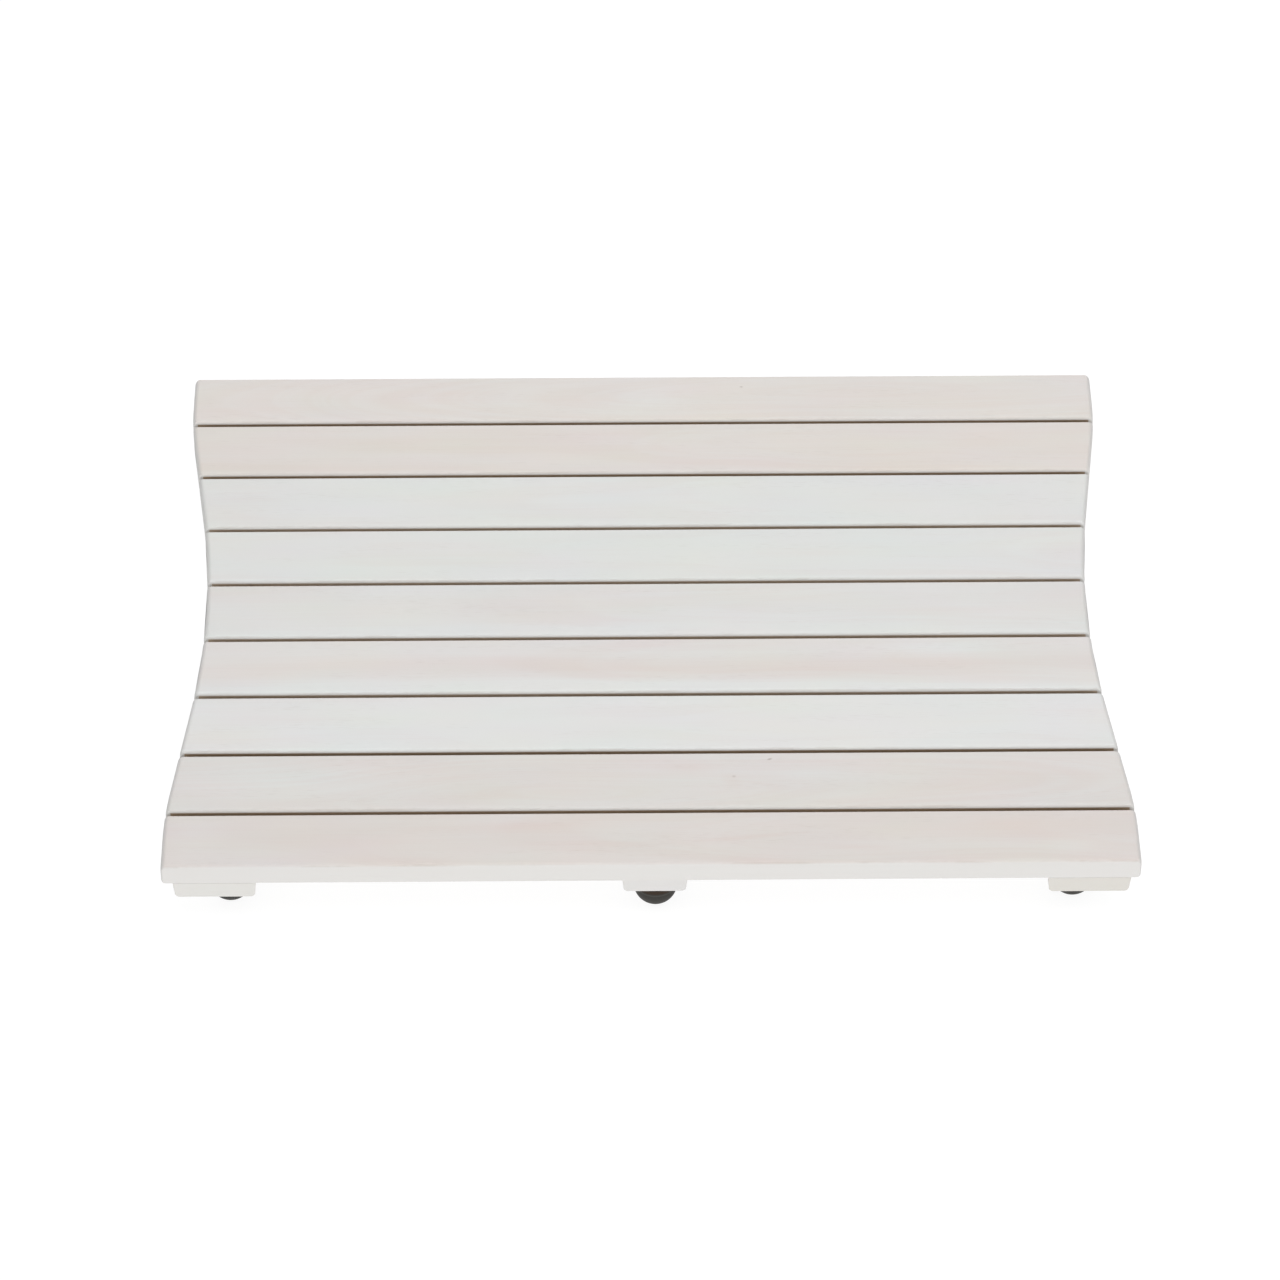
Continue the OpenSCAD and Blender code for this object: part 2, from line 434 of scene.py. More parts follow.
def put(tree, kind, sockets=None, **settings):
    """A new node. sockets maps an input's name or number to a value or to another node's output."""
    made = tree.nodes.new("ShaderNode" + kind)
    for key, value in settings.items():
        setattr(made, key, value)
    for key, value in (sockets or {}).items():
        if isinstance(value, bpy.types.NodeSocket):
            tree.links.new(value, made.inputs[key])
        else:
            made.inputs[key].default_value = value
    return made


def calc(tree, operation, first, second=0.0, third=0.0):
    """The output of a Math node."""
    return put(tree, "Math", {0: first, 1: second, 2: third}, operation=operation).outputs[0]


def remap(tree, value, low, high, to_low=0.0, to_high=1.0):
    """value moved smoothly from the range low..high to to_low..to_high, and clamped there."""
    sockets = {"Value": value, "From Min": low, "From Max": high, "To Min": to_low, "To Max": to_high}
    made = put(tree, "MapRange", sockets, interpolation_type="SMOOTHSTEP")
    return made.outputs["Result"]


def blend_colour(tree, share, first, second, mode="MIX"):
    """The output of a colour Mix node."""
    made = put(tree, "Mix", data_type="RGBA", blend_type=mode, clamp_factor=True)
    for index, value in ((0, share), (6, first), (7, second)):
        if isinstance(value, bpy.types.NodeSocket):
            tree.links.new(value, made.inputs[index])
        else:
            made.inputs[index].default_value = value
    return made.outputs[2]


def stretched(tree, place, scale, turn=(0, 0, 0)):
    """Object coordinates stretched and turned for a texture."""
    return put(tree, "Mapping", {"Vector": place, "Scale": scale, "Rotation": turn}).outputs[0]


def noise(tree, vector, scale=1.0, detail=2.0, rough=0.5):
    """A noise texture's value, around 0.5."""
    sockets = {"Vector": vector, "Scale": scale, "Detail": detail, "Roughness": rough}
    return put(tree, "TexNoise", sockets).outputs["Fac"]


def attribute(tree, name):
    """A value painted on the mesh, or 0 where the mesh has none of that name."""
    return put(tree, "Attribute", attribute_name=name).outputs["Fac"]


def srgb(red, green, blue):
    """A colour given in the 0 to 255 steps of a display, as linear light."""
    linear = []
    for step in (red, green, blue):
        share = step / 255
        linear.append(share / 12.92 if share <= 0.04045 else ((share + 0.055) / 1.055) ** 2.4)
    return (*linear, 1.0)


def new_material(name):
    """A node material with one Principled shader and an output, and that shader."""
    made = bpy.data.materials.new(name)
    made.use_nodes = True
    tree = made.node_tree
    tree.nodes.clear()
    shader = put(tree, "BsdfPrincipled")
    put(tree, "OutputMaterial", {"Surface": shader.outputs[0]})
    return made, tree, shader


def link(tree, value, shader, socket):
    """Feeds a node's output into one of the shader's sockets."""
    tree.links.new(value, shader.inputs[socket])


# ---------------------------------------------------------------- wood

# How often each kind of grain changes in a metre: along the plank, across it and through it
WANDER_GRAIN = (5, 14, 14)
BROAD_GRAIN = (4, 150, 150)
FINE_GRAIN = (14, 900, 900)
THREAD_GRAIN = (40, 3200, 3200)
CLOUD_GRAIN = (7, 26, 26)
PORE_GRAIN = (75, 1500, 1500)
PORE_GROUP_GRAIN = (9, 120, 120)
TINT_GRAIN = (12, 38, 38)
WEAR_GRAIN = (18, 60, 60)

# How far in metres one step of a look's seed moves its patterns
SEED_STEP = (3.1, 0.73, 0.41)

# Colours of the whitewash and of the teak below it, with the painted light of upright faces and the painted
# shade of the ends and of the gaps
WASH = srgb(226, 226, 224)
UPRIGHT_LIGHT_WHITE = srgb(227, 226, 223)
END_SHADE_GREY = srgb(206, 205, 203)
TEAK_PINK = srgb(208, 164, 146)
TEAK_TAN = srgb(208, 169, 139)
TEAK_GREY = srgb(186, 192, 184)
TEAK_BARE = srgb(158, 137, 114)
GAP_SHADE_BROWN = srgb(192, 174, 154)
GAP_DEEP_SHADE_BROWN = srgb(172, 150, 126)
PORE_BROWN = srgb(150, 128, 110)
FLECK_BROWN = srgb(120, 96, 80)

# What all wood shares: how much of each kind of grain shows, where the growth rings lie, and the painted
# light on upright faces and painted shade on ends and in gaps
BASE_LOOK = {
    "seed": 1.0,
    "warm": 0.10,
    "dull": 0.05,
    "ring_warmth": 0.05,
    "streak": 0.08,
    "fibre": 0.09,
    "cloud": 0.10,
    "tint": 0.06,
    "pore_depth": 0.10,
    "wear": 0.15,
    "side_light_share": 0.8,
    "end_shade_share": 0.6,
    "warm_colour": TEAK_PINK,
    "side_light_colour": UPRIGHT_LIGHT_WHITE,
    "gap_shade_colour": GAP_SHADE_BROWN,
    "sway": 0.016,
    "arch_at": 0.0,
    "heart": (0.004, -0.05),
    "slant": (0.01, 0.02),
    "rings_per_m": 260,
    "streaks": (),
    "flecks": (),
}

# What sets each slat apart, from the front one to the rear one. Streaks and flecks are soft spots; two long
# pale streaks are painted sheen
SLAT_LOOKS = (
    {
        "seed": 1.3,
        "warm": 0.21,
        "dull": 0.11,
        "slant": (0.02, 0.03),
        "streaks": (
            (-95, 9, 85, 8, 0.07, 0),
            (-20, -5, 45, 5, 0.06, 0),
            (62, 1, 50, 3, 0.08, 5),
            (125, -7, 45, 4, 0.06, -2),
            (240, 6, 70, 18, 0.05, 0),
            (262, -10, 22, 10, -0.05, 0),
            (-285, 0, 30, 30, -0.05, 0),
        ),
    },
    {
        "seed": 2.6,
        "gap_shade_colour": GAP_DEEP_SHADE_BROWN,
        "warm": 0.15,
        "dull": 0.135,
        "arch_at": -0.10,
        "slant": (0.03, 0.10),
        "heart": (-0.012, -0.004),
        "streaks": (
            (-235, 5, 120, 30, -0.10, 0),
            (-110, -15, 60, 9, 0.06, 4),
            (25, 13, 28, 8, 0.07, 0),
            (52, 0, 8, 14, 0.06, 30),
            (160, -9, 60, 12, 0.05, 0),
            (220, 0, 90, 25, 0.05, 0),
            (95, 5, 40, 15, -0.05, 0),
        ),
        "flecks": ((76, 18, 2.5, 1.2, 0.5, 20), (53, 3, 2.0, 1.5, 0.25, 0)),
    },
    {
        "seed": 3.2,
        "gap_shade_colour": GAP_DEEP_SHADE_BROWN,
        "warm": 0.01,
        "dull": 0.05,
        "streaks": ((-270, -10, 45, 18, 0.05, 0), (-60, -5, 80, 16, -0.04, 0)),
    },
    {
        "seed": 4.7,
        "warm": 0.12,
        "dull": 0.06,
        "streaks": (
            (60, -1, 480, 15, 0.13, 0),
            # painted sheen: a long pale band along the front third of the slat
            (-20, -23, 700, 14, -0.20, 0),
            (185, 15, 65, 12, -0.08, 0),
        ),
    },
    {
        "seed": 5.1,
        "warm": 0.07,
        "dull": 0.10,
        "streaks": (
            # painted sheen: a long pale band along the front third of the slat
            (0, -22, 700, 14, -0.12, 0),
            (-40, 6, 330, 12, 0.04, -0.5),
            (190, -6, 75, 6, 0.06, 0),
        ),
    },
    {
        "seed": 6.9,
        "warm": 0.01,
        "dull": 0.10,
        "streaks": ((90, 0, 65, 20, 0.03, 0), (272, 0, 35, 26, 0.05, 0), (-282, -6, 30, 15, 0.04, 0)),
    },
    {
        "seed": 7.4,
        "warm": 0.01,
        "dull": 0.09,
        "streaks": ((-272, 0, 45, 26, 0.05, 0), (268, 0, 45, 26, -0.04, 0), (-70, -6, 60, 14, 0.03, 0)),
    },
    {
        "seed": 8.2,
        "warm_colour": TEAK_TAN,
        "gap_shade_colour": GAP_DEEP_SHADE_BROWN,
        "warm": 0.21,
        "dull": 0.02,
        "streaks": (
            (-10, 6, 42, 9, -0.04, 0),
            (-190, 0, 70, 20, 0.03, 0),
            (160, -6, 85, 12, 0.04, 0),
            (262, 6, 32, 12, -0.04, 0),
        ),
    },
    {
        "seed": 9.5,
        "warm_colour": TEAK_TAN,
        "gap_shade_colour": GAP_DEEP_SHADE_BROWN,
        "warm": 0.18,
        "dull": 0.0,
        "arch_at": 0.16,
        "slant": (0.02, 0.09),
        "heart": (0.006, 0.0),
        "streaks": ((-190, 0, 115, 18, 0.03, 0), (8, 0, 48, 22, -0.06, 0), (200, -4, 120, 14, 0.04, 0)),
        "flecks": ((67, 11, 1.8, 1.0, 0.4, 0),),
    },
)

# What sets the runners apart from the slats, and the painted light on each one's upright ends and sides
RUNNER_LOOK = {"warm": 0.06, "dull": 0.04, "end_shade_share": 0.0, "side_light_share": 0.8, "wear": 0.2}
RUNNER_UPRIGHT_LIGHT = {"left": srgb(225, 223, 218), "centre": srgb(225, 223, 221), "right": srgb(220, 216, 208)}


def washed_wood(name, look, across_y=True):
    """Whitewashed teak, with painted light on upright faces and painted shade on ends and in gaps. look
    holds the plank's own tone, its seed, and where its growth rings and warm and pale streaks lie. The
    grain runs along X, or along Y where across_y is false."""
    material, tree, shader = new_material(name)
    coordinates = put(tree, "TexCoord").outputs
    place, facing = coordinates["Object"], coordinates["Normal"]
    if not across_y:
        place = stretched(tree, place, (1, 1, 1), turn=(0, 0, math.radians(90)))
        facing = stretched(tree, facing, (1, 1, 1), turn=(0, 0, math.radians(90)))
    shift = tuple(look["seed"] * step for step in SEED_STEP)
    own = put(tree, "VectorMath", {0: place, 1: shift}).outputs[0]
    bent = wandering(tree, place, own, look["sway"])
    rings = growth_rings(tree, bent, look)
    fine = noise(tree, stretched(tree, own, FINE_GRAIN), detail=3.0, rough=0.6)
    pore = open_pores(tree, own)
    cloud = noise(tree, stretched(tree, own, CLOUD_GRAIN), detail=3.0)

    warm = warmth(tree, look, own, bent, (rings, fine, cloud))
    colour = blend_colour(tree, look["dull"], WASH, TEAK_GREY)
    colour = blend_colour(tree, warm, colour, look["warm_colour"])
    colour = tinted(tree, colour, own, look["tint"])
    colour = blend_colour(tree, calc(tree, "MULTIPLY", pore, look["pore_depth"]), colour, PORE_BROWN)
    for fleck in look["flecks"]:
        colour = blend_colour(tree, soft_spot(tree, place, look["middle"], fleck), colour, FLECK_BROWN)
    # painted light on upright faces, painted shade on the ends and in the gaps
    colour = painted_light_and_shade(tree, colour, facing, look)
    colour = rubbed_edges(tree, colour, own, fine, look)
    link(tree, colour, shader, "Base Color")

    rough = calc(tree, "MULTIPLY_ADD", fine, 0.16, 0.46)
    rough = calc(tree, "MULTIPLY_ADD", cloud, 0.10, rough)
    link(tree, rough, shader, "Roughness")
    link(tree, wood_relief(tree, own, fine, rings, pore), shader, "Normal")
    return material


def wandering(tree, place, own, amount):
    """The place moved slowly to and fro across the plank, so that straight grain wanders."""
    wander = coloured_noise(tree, stretched(tree, own, WANDER_GRAIN))
    wander = put(tree, "VectorMath", {0: wander, 1: (0, amount, amount)}, operation="MULTIPLY").outputs[0]
    return put(tree, "VectorMath", {0: place, 1: wander}).outputs[0]


def warmth(tree, look, own, bent, waves):
    """How much of the teak's own colour shows through the wash, less under the painted sheen bands. waves
    are the growth rings, the fine grain and the clouds."""
    rings, fine, cloud = waves
    broad = noise(tree, stretched(tree, own, BROAD_GRAIN), detail=3.0)
    warm = add_centred(tree, look["warm"], rings, look["ring_warmth"])
    warm = add_centred(tree, warm, broad, look["streak"])
    warm = add_centred(tree, warm, fine, look["fibre"])
    warm = add_centred(tree, warm, cloud, look["cloud"])
    for streak in look["streaks"]:
        warm = calc(tree, "ADD", warm, soft_spot(tree, bent, look["middle"], streak))
    return warm


def wood_relief(tree, own, fine, rings, pore):
    """The bump of the grain, with sunken pores."""
    thread = noise(tree, stretched(tree, own, THREAD_GRAIN), detail=2.0)
    height = calc(tree, "MULTIPLY_ADD", fine, 0.55, calc(tree, "MULTIPLY", thread, 0.25))
    height = calc(tree, "MULTIPLY_ADD", rings, 0.15, height)
    height = calc(tree, "MULTIPLY_ADD", pore, -0.7, height)
    return put(tree, "Bump", {"Strength": 0.35, "Distance": 0.25 * MM, "Height": height}).outputs[0]


def coloured_noise(tree, vector):
    """A noise texture with three values that vary on their own, each around 0."""
    colour = put(tree, "TexNoise", {"Vector": vector, "Scale": 1.0, "Detail": 1.0}).outputs["Color"]
    return put(tree, "VectorMath", {0: colour, 1: (0.5, 0.5, 0.5)}, operation="SUBTRACT").outputs[0]


def growth_rings(tree, bent, look):
    """Growth rings round the heart of the log, which lies beside the plank and is a little askew. Where
    the heart's line meets the face of the plank, the rings show as pointed arches."""
    parts = put(tree, "SeparateXYZ", {0: bent}).outputs
    along = calc(tree, "SUBTRACT", parts["X"], look["arch_at"])
    heart_y = calc(tree, "MULTIPLY_ADD", along, look["slant"][0], look["middle"][1] + look["heart"][0])
    heart_z = calc(tree, "MULTIPLY_ADD", along, look["slant"][1], look["middle"][2] + look["heart"][1])
    away_y = calc(tree, "SUBTRACT", parts["Y"], heart_y)
    away_z = calc(tree, "SUBTRACT", parts["Z"], heart_z)
    offset = put(tree, "CombineXYZ", {"X": 0.0, "Y": away_y, "Z": away_z}).outputs[0]
    from_heart = put(tree, "VectorMath", {0: offset}, operation="LENGTH").outputs["Value"]
    sockets = {"W": calc(tree, "MULTIPLY", from_heart, look["rings_per_m"])}
    sockets.update({"Scale": 1.0, "Detail": 3.0, "Roughness": 0.55})
    rings = put(tree, "TexNoise", sockets, noise_dimensions="1D").outputs["Fac"]
    return remap(tree, rings, 0.36, 0.66)


def open_pores(tree, own):
    """Open pores of the teak: short dark dashes that come in groups."""
    sockets = {"Vector": stretched(tree, own, PORE_GRAIN), "Scale": 1.0}
    cells = put(tree, "TexVoronoi", sockets, feature="F1")
    group = noise(tree, stretched(tree, own, PORE_GROUP_GRAIN), detail=2.0)
    pore = remap(tree, cells.outputs["Distance"], 0.34, 0.12)
    return calc(tree, "MULTIPLY", pore, remap(tree, group, 0.46, 0.66))


def add_centred(tree, value, wave, amount):
    """value plus amount times a noise value that is centred on 0.5."""
    centred = calc(tree, "SUBTRACT", wave, 0.5)
    return calc(tree, "MULTIPLY_ADD", centred, amount, value)


def soft_spot(tree, place, middle, spot):
    """A soft-edged oval on a plank, in millimetres from its middle: (along, across, half length,
    half width, strength, slope in degrees)."""
    along, across, length, width, strength, slope = spot
    sockets = {
        "Vector": place,
        "Location": (middle[0] + along * MM, middle[1] + across * MM, middle[2]),
        "Rotation": (0, 0, math.radians(slope)),
        "Scale": (length * MM, width * MM, 1.0),
    }
    oval = put(tree, "Mapping", sockets, vector_type="TEXTURE").outputs[0]
    fade = put(tree, "TexGradient", {"Vector": oval}, gradient_type="SPHERICAL").outputs["Fac"]
    return remap(tree, fade, 0.0, 1.0, 0.0, strength)


def tinted(tree, colour, own, amount):
    """Patches where the wash leans a little towards pink, green or lilac."""
    patches = coloured_noise(tree, stretched(tree, own, TINT_GRAIN))
    sockets = {0: patches, 1: (amount, amount, amount), 2: (1, 1, 1)}
    patches = put(tree, "VectorMath", sockets, operation="MULTIPLY_ADD").outputs[0]
    return blend_colour(tree, 1.0, colour, patches, mode="MULTIPLY")


def painted_light_and_shade(tree, colour, facing, look):
    """Painted light and shade by facing: upright faces painted lighter as if lit from the front, ends
    painted greyer as shade, and painted shade on walls that face a neighbouring slat.
    """
    parts = put(tree, "SeparateXYZ", {0: facing}).outputs
    # painted front light: the more upright a face, the more it takes the lighter side colour
    upright = remap(tree, calc(tree, "ABSOLUTE", parts["Z"]), 0.9, 0.3, 0.0, look["side_light_share"])
    colour = blend_colour(tree, upright, colour, look["side_light_colour"])
    # painted shade: faces turned towards the ends are greyer
    ending = remap(tree, calc(tree, "ABSOLUTE", parts["X"]), 0.15, 0.75, 0.0, look["end_shade_share"])
    colour = blend_colour(tree, ending, colour, END_SHADE_GREY)
    # painted shade in the gaps, on walls that face a neighbouring slat
    wall = remap(tree, attribute(tree, "gap_wall"), 0.82, 1.0)
    return blend_colour(tree, wall, colour, look["gap_shade_colour"])


def rubbed_edges(tree, colour, own, fine, look):
    """Thin places on the rounded edges, where the wash has rubbed off."""
    patch = noise(tree, stretched(tree, own, WEAR_GRAIN), detail=4.0, rough=0.7)
    patch = add_centred(tree, patch, fine, 0.4)
    worn = remap(tree, patch, 0.50, 0.62)
    worn = calc(tree, "MULTIPLY", worn, remap(tree, attribute(tree, "edge"), 0.55, 1.0))
    worn = calc(tree, "MULTIPLY", worn, look["wear"])
    return blend_colour(tree, worn, colour, TEAK_BARE)


def slat_look(index, middle):
    """The look of one slat, with the middle of its top face, from which its streaks are placed."""
    return {**BASE_LOOK, **SLAT_LOOKS[index], "middle": middle}


# ---------------------------------------------------------------- slats and runners

def paint_gap_walls(piece, first, last, middle):
    """Marks the side walls that face a neighbouring slat, as opposed to the mat's front and rear, for the
    painted shade in the gaps.
    """
    walls = [value.value for value in piece.data.attributes["wall"].data]
    layer = piece.data.attributes.new("gap_wall", "FLOAT", "POINT")
    for vert, wall in zip(piece.data.vertices, walls):
        outside = (first and vert.co.y < middle) or (last and vert.co.y > middle)
        layer.data[vert.index].value = 0.0 if outside else wall


def make_slat(index):
    """One slat, its ends cut to the waist and its edges rounded."""
    node = SLATS[index]
    low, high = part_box(node)
    first, last = index == 0, index == len(SLATS) - 1
    spec = {
        "along_y": False,
        "heights": (low.z, high.z),
        "sides": (lambda u: low.y, lambda u: high.y),
        "ends": (lambda v: -half_width(v), half_width),
        "corner_r": (FRONT_CORNER_R if first else SLAT_CORNER_R, REAR_CORNER_R if last else SLAT_CORNER_R),
        "top_r": SLAT_EDGE_R,
        "under_r": SLAT_UNDER_R,
        "end_top_r": SLAT_END_R,
        "end_under_r": SLAT_END_UNDER_R,
        "lean": 0.0,
        "arc_steps": 6,
        "flat_steps": 8,
        "end_steps": 7,
        "mid_steps": 12,
    }
    piece = bar_mesh(node + "_plank", spec)
    middle = (low.y + high.y) / 2
    paint_gap_walls(piece, first, last, middle)
    look = slat_look(index, (0.0, middle, high.z))
    coat(piece, washed_wood(node + "_whitewash", look))
    place_piece(piece, "slat_wood", node)


def runner_sides(side, low, high):
    """The two long sides of a runner, as functions of the place along it, and their corner radii. The
    outer side of the left and right runners follows the waist of the slats."""
    sides = [lambda u: low.x, lambda u: high.x]
    radii = [RUNNER_END_R, RUNNER_END_R]
    if side == "left":
        sides[0] = lambda u: FRAME_SHIFT + RUNNER_INSET - half_width(u)
        radii[0] = RUNNER_CORNER_R
    if side == "right":
        sides[1] = lambda u: FRAME_SHIFT - RUNNER_INSET + half_width(u)
        radii[1] = RUNNER_CORNER_R
    return sides, radii


def place_piece(piece, slot, *nodes):
    """Ties a piece to the body and hides the CAD nodes that it stands for. slot is not used."""
    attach(piece, BODY)
    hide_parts(*nodes)


def countersink(piece, centres, underside):
    """Cuts a countersunk hole for a slat screw up into a runner at each centre."""
    profile = [(0, -1 * MM), (COUNTERSINK_R, -1 * MM), (COUNTERSINK_R, HEAD_SINK)]
    profile += [(SHANK_HOLE_R, HEAD_SINK + COUNTERSINK_R - SHANK_HOLE_R), (0, COUNTERSINK_DEPTH)]
    cut(piece, lathe("cutter", profile, [(x, y, underside) for x, y in centres], steps=40))


def make_runner(side, index):
    """One runner, with the countersinks of its slat screws."""
    node = "runner_" + side
    low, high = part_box(node)
    sides, corner_r = runner_sides(side, low, high)
    spec = {
        "along_y": True,
        "heights": (low.z, high.z),
        "sides": sides,
        "ends": (lambda v: low.y, lambda v: high.y),
        "corner_r": corner_r,
        "top_r": RUNNER_TOP_R,
        "under_r": RUNNER_UNDER_R,
        "end_top_r": RUNNER_END_R,
        "end_under_r": RUNNER_END_R,
        "lean": RUNNER_LEAN,
        "arc_steps": 6,
        "flat_steps": 4,
        "end_steps": 5,
        "mid_steps": 48,
    }
    piece = bar_mesh(node + "_bar", spec)
    countersink(piece, island_centres("slat_screws_" + side), low.z)
    # the grain is turned to lie along X, so the runner's own X becomes the Y of its middle
    look = {**BASE_LOOK, **RUNNER_LOOK, "seed": 11.0 + index * 2.3}
    look["middle"] = (0.0, (low.x + high.x) / 2, low.z)
    look["side_light_colour"] = RUNNER_UPRIGHT_LIGHT[side]
    coat(piece, washed_wood(node + "_whitewash", look, across_y=False), angle=30)
    place_piece(piece, "runner_wood", node)


# ---------------------------------------------------------------- feet and fasteners

# Colours of the rubber, where it is pale and dusty, of its painted highlight and of its painted shade next
# to the wood, and of the steel
RUBBER = srgb(48, 47, 43)
RUBBER_PALE = srgb(58, 56, 52)
RUBBER_DUST = srgb(96, 92, 86)
RUBBER_HIGHLIGHT = srgb(92, 90, 84)
RUBBER_SHADE_BROWN = srgb(50, 36, 22)
WASHER_TONE = srgb(200, 200, 200)
SCREW_TONE = srgb(196, 195, 192)
STEEL_SMUDGE = srgb(150, 148, 146)


def foot_profile(height, radius):
    """Profile of a domed rubber foot, from its underside up and round."""
    shoulder = height - FOOT_COLLAR_H
    ceiling = height - FOOT_FLOOR_T
    touch = math.sqrt(radius**2 - shoulder**2)
    start = math.degrees(math.asin(-shoulder / radius))
    points = [(FOOT_RECESS_R + FOOT_MOUTH_SOFT, 0.0), (touch - FOOT_TOUCH_SOFT, 0.0)]
    points += arc((0, shoulder), radius, start + FOOT_TOUCH_TURN, 0, 20)
    points += [(radius, shoulder + 2 * MM)]
    points += arc((radius - FOOT_LIP_R, height - FOOT_LIP_R), FOOT_LIP_R, 0, 90, 5)
    points += [(FOOT_HOLE_R, height), (FOOT_HOLE_R, ceiling)]
    points += [(FOOT_RECESS_R, ceiling), (FOOT_RECESS_R, FOOT_MOUTH_SOFT)]
    return points


def rubber(shoulder):
    """Dark grey rubber, dusty, with a painted highlight ring above its shoulder and painted shade, tinted
    brown, next to the wood.
    """
    material, tree, shader = new_material("foot_rubber")
    place = put(tree, "TexCoord").outputs["Object"]
    cloud = noise(tree, place, scale=90, detail=3.0)
    grain = noise(tree, place, scale=2600, detail=2.0)
    dust = remap(tree, noise(tree, place, scale=240, detail=4.0, rough=0.65), 0.50, 0.72)
    height = put(tree, "SeparateXYZ", {0: place}).outputs[2]
    # painted shade where the foot meets the wood, tinted brown
    shade_under_wood = remap(tree, height, shoulder + SHADE_BAND[0], shoulder + SHADE_BAND[1])
    # painted highlight ring above the shoulder
    off_the_ring = calc(tree, "ABSOLUTE", calc(tree, "SUBTRACT", height, shoulder + HIGHLIGHT_RING_Z))
    ring = remap(tree, off_the_ring, *HIGHLIGHT_RING_FADE)
    colour = blend_colour(tree, cloud, RUBBER, RUBBER_PALE)
    colour = blend_colour(tree, calc(tree, "MULTIPLY", dust, 0.12), colour, RUBBER_DUST)
    colour = blend_colour(tree, calc(tree, "MULTIPLY", ring, 0.30), colour, RUBBER_HIGHLIGHT)
    colour = blend_colour(tree, shade_under_wood, colour, RUBBER_SHADE_BROWN)
    link(tree, colour, shader, "Base Color")
    shader.inputs["Specular IOR Level"].default_value = 0.25
    link(tree, calc(tree, "MULTIPLY_ADD", dust, 0.18, 0.60), shader, "Roughness")
    bump = put(tree, "Bump", {"Strength": 0.25, "Distance": 0.1 * MM, "Height": grain})
    link(tree, bump.outputs[0], shader, "Normal")
    return material


def steel(name, tone):
    """Stainless steel with fine marks and a slightly uneven polish."""
    material, tree, shader = new_material(name)
    place = put(tree, "TexCoord").outputs["Object"]
    marks = noise(tree, place, scale=1800, detail=3.0, rough=0.7)
    smudge = noise(tree, place, scale=300, detail=2.0)
    colour = blend_colour(tree, smudge, tone, STEEL_SMUDGE)
    link(tree, colour, shader, "Base Color")
    shader.inputs["Metallic"].default_value = 1.0
    link(tree, calc(tree, "MULTIPLY_ADD", marks, 0.25, 0.18), shader, "Roughness")
    bump = put(tree, "Bump", {"Strength": 0.2, "Distance": 0.05 * MM, "Height": marks})
    link(tree, bump.outputs[0], shader, "Normal")
    return material


def slot_cutter(centres, depth, span, turn):
    """The cutter for one slot of the cross in a screw head, at each centre. The slot narrows downwards."""
    mesh_data = bmesh.new()
    for centre in centres:
        turned = Matrix.Translation(centre) @ Matrix.Rotation(math.radians(turn), 4, "Z")
        corners = []
        for level, shrink in ((-0.5 * MM, 1.0), (depth, SLOT_TAPER)):
            for sx, sy in ((-1, -1), (1, -1), (1, 1), (-1, 1)):
                wide = span * shrink
                thin = SLOT_HALF_W * (0.6 + 0.4 * shrink)
                corners.append(mesh_data.verts.new(turned @ Vector((sx * wide, sy * thin, level))))
        low, high = corners[:4], corners[4:]
        mesh_data.faces.new(low)
        mesh_data.faces.new(high)
        for i in range(4):
            j = (i + 1) % 4
            mesh_data.faces.new((low[i], low[j], high[j], high[i]))
    bmesh.ops.recalc_face_normals(mesh_data, faces=mesh_data.faces)
    return finish_mesh("slot", mesh_data)


def cut_crosses(piece, centres, cross):
    """Cuts a cross-shaped driver recess into every screw head of a piece, one slot at a time."""
    depth, span = cross
    for turn in SLOT_TURNS:
        cut(piece, slot_cutter(centres, depth, span, turn))


def make_feet():
    """The nine feet, one rubber for all."""
    finish = rubber(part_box("foot_front_left")[1].z - FOOT_COLLAR_H)
    for row in ROWS:
        for side in SIDES:
            node = "foot_%s_%s" % (row, side)
            low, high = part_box(node)
            radius = (high.x - low.x) / 2
            centre = ((low.x + high.x) / 2, (low.y + high.y) / 2, low.z)
            piece = lathe(node + "_rubber", foot_profile(high.z - low.z, radius), [centre], steps=96)
            coat(piece, finish, angle=50)
            place_piece(piece, "foot_rubber", node)


def make_washers():
    """The washers under the screw heads inside the feet."""
    low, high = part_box("foot_washers")
    thick = high.z - low.z
    profile = [(WASHER_BORE_R, 0.0), (WASHER_R - WASHER_SOFT, 0.0), (WASHER_R, WASHER_SOFT)]
    profile += [(WASHER_R, thick - WASHER_SOFT), (WASHER_R - WASHER_SOFT, thick), (WASHER_BORE_R, thick)]
    centres = [(x, y, low.z) for x, y in island_centres("foot_washers")]
    piece = lathe("foot_washers_steel", profile, centres, steps=48)
    coat(piece, steel("washer_steel", WASHER_TONE))
    place_piece(piece, "washer_steel", "foot_washers")


def make_foot_screws(finish):
    """Round-headed screws in the recesses of the feet, heads down."""
    low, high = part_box("foot_screws")
    top = high.z - low.z
    squash = FOOT_HEAD_H / FOOT_HEAD_R
    head = arc((0, FOOT_HEAD_H), FOOT_HEAD_R, -90, -20, 10)
    profile = [(r, FOOT_HEAD_H + (z - FOOT_HEAD_H) * squash) for r, z in head]
    # the middle of the head lies on the axis exactly
    profile[0] = (0.0, profile[0][1])
    profile += [(FOOT_HEAD_R, FOOT_HEAD_H * 0.8), (FOOT_HEAD_R, FOOT_HEAD_H), (SCREW_R, FOOT_HEAD_H)]
    profile += [(SCREW_R, top - SCREW_R), (0.0, top)]
    centres = [(x, y, low.z) for x, y in island_centres("foot_screws")]
    piece = lathe("foot_screws_steel", profile, centres, steps=40)
    cut_crosses(piece, centres, FOOT_CROSS)
    coat(piece, finish)
    place_piece(piece, "screw_steel", "foot_screws")


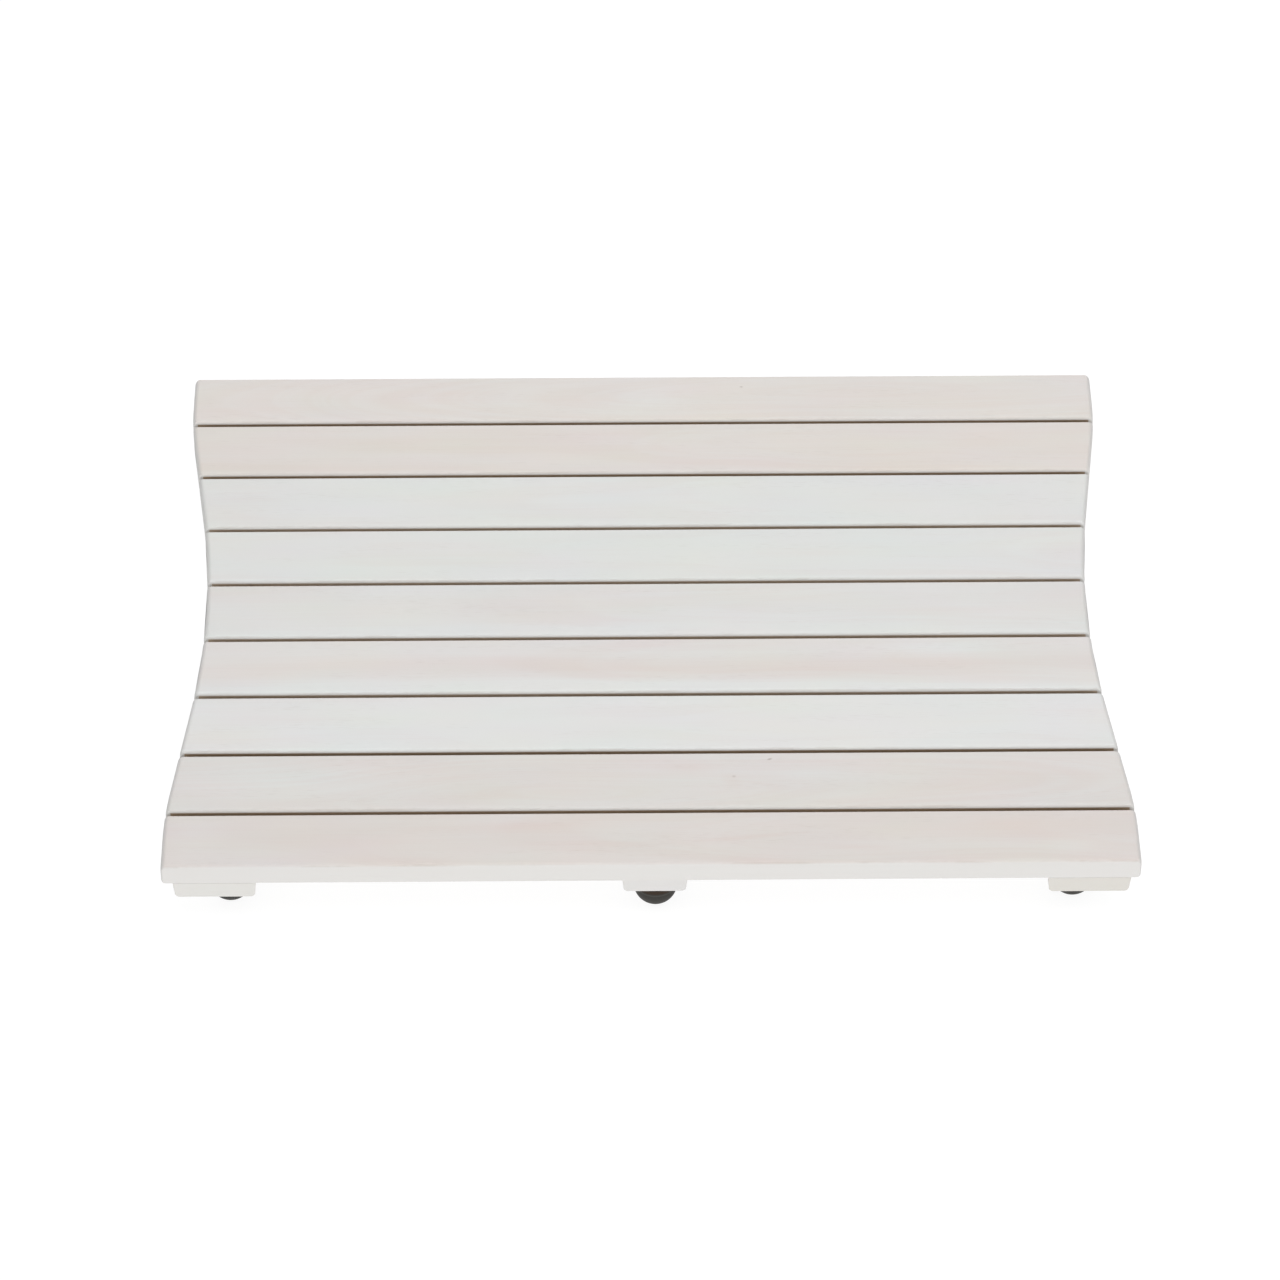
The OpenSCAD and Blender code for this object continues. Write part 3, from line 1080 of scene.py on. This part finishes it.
def make_slat_screws(side, finish):
    """Countersunk screws, heads flush with the runner's underside."""
    node = "slat_screws_" + side
    low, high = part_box(node)
    top = high.z - low.z
    rim = HEAD_SINK + HEAD_RIM_T
    profile = [(0.0, HEAD_SINK), (SLAT_HEAD_R - HEAD_SOFT, HEAD_SINK), (SLAT_HEAD_R, HEAD_SINK + HEAD_SOFT)]
    profile += [(SLAT_HEAD_R, rim), (SCREW_R, rim + SLAT_HEAD_R - SCREW_R)]
    profile += [(SCREW_R, top - SCREW_R), (0.0, top)]
    centres = [(x, y, low.z) for x, y in island_centres(node)]
    piece = lathe(node + "_steel", profile, centres, steps=40)
    recess_mouth = [(x, y, z + HEAD_SINK) for x, y, z in centres]
    cut_crosses(piece, recess_mouth, SLAT_CROSS)
    coat(piece, finish)
    place_piece(piece, "screw_steel", node)


# ---------------------------------------------------------------- stage

def make_floor():
    """A plain near-white floor that lights up a little by itself, so that shadows on it stay faint.
    The part below the mat glows less, as a painted shadow, and the part the lamps don't reach lights up a
    little more."""
    material, tree, shader = new_material("studio_floor")
    shader.inputs["Base Color"].default_value = (0.15, 0.15, 0.15, 1)
    shader.inputs["Roughness"].default_value = 0.9
    shader.inputs["Specular IOR Level"].default_value = 0.1
    shader.inputs["Emission Color"].default_value = (1, 1, 1, 1)
    place = put(tree, "TexCoord").outputs["Object"]
    inwards = (1 / cad_high.x, 1 / cad_high.y, 0)
    place = put(tree, "VectorMath", {0: place, 1: inwards}, operation="MULTIPLY").outputs[0]
    place = put(tree, "VectorMath", {0: place}, operation="ABSOLUTE").outputs[0]
    parts = put(tree, "SeparateXYZ", {0: place}).outputs
    outwards = calc(tree, "MAXIMUM", parts["X"], parts["Y"])
    # painted shadow: the floor glows less below the mat
    glow = remap(tree, outwards, *UNDER_EDGE, UNDER_GLOW, FLOOR_GLOW)
    glow = calc(tree, "ADD", glow, remap(tree, outwards, *FAR_EDGE, 0.0, FAR_GLOW))
    link(tree, glow, shader, "Emission Strength")
    mesh_data = bmesh.new()
    bmesh.ops.create_grid(mesh_data, x_segments=4, y_segments=4, size=FLOOR_HALF_W)
    floor = finish_mesh("floor", mesh_data)
    floor.data.materials.append(material)


def make_light(name, place, size, watts):
    """A square soft light aimed at the middle of the mat."""
    lamp = bpy.data.lights.new(name, "AREA")
    lamp.shape = "SQUARE"
    lamp.size = size
    lamp.energy = watts
    holder = bpy.data.objects.new(name, lamp)
    holder.location = place
    holder.rotation_mode = "QUATERNION"
    holder.rotation_quaternion = (-Vector(place)).to_track_quat("-Z", "Y")
    holder.visible_camera = False
    bpy.context.scene.collection.objects.link(holder)


def make_world():
    """White to the camera, and a weak cool fill light to everything else."""
    world = bpy.data.worlds.new("studio")
    bpy.context.scene.world = world
    world.use_nodes = True
    tree = world.node_tree
    tree.nodes.clear()
    seen = put(tree, "Background", {"Color": (1, 1, 1, 1), "Strength": 1.0})
    fill = put(tree, "Background", {"Color": FILL_TINT, "Strength": FILL_STRENGTH})
    path = put(tree, "LightPath")
    both = put(tree, "MixShader", {0: path.outputs["Is Camera Ray"]})
    tree.links.new(fill.outputs[0], both.inputs[1])
    tree.links.new(seen.outputs[0], both.inputs[2])
    put(tree, "OutputWorld", {"Surface": both.outputs[0]})


def make_camera():
    """The camera, looking down at the mat from the front as in the photo."""
    lens = bpy.data.cameras.new("camera")
    lens.lens = CAMERA_LENS
    lens.sensor_width = SENSOR_W
    lens.clip_start = 0.05
    lens.clip_end = 100
    camera = bpy.data.objects.new("camera", lens)
    turn = Matrix.Rotation(CAMERA_YAW, 4, "Z")
    turn = turn @ Matrix.Rotation(math.pi / 2 - CAMERA_TILT, 4, "X")
    turn = turn @ Matrix.Rotation(CAMERA_ROLL, 4, "Z")
    camera.matrix_world = Matrix.Translation(CAMERA_PLACE) @ turn
    bpy.context.scene.collection.objects.link(camera)
    bpy.context.scene.camera = camera


def make_stage():
    """Camera, floor, world and soft lamps."""
    make_camera()
    make_floor()
    make_world()
    for lamp in LAMPS:
        make_light(*lamp)
    bpy.context.scene.view_settings.view_transform = "Standard"


def make_object():
    """All pieces of the mat."""
    for index in range(len(SLATS)):
        make_slat(index)
    for index, side in enumerate(SIDES):
        make_runner(side, index)
    make_feet()
    make_washers()
    screw_finish = steel("screw_steel", SCREW_TONE)
    make_foot_screws(screw_finish)
    for side in SIDES:
        make_slat_screws(side, screw_finish)


make_stage()
make_object()
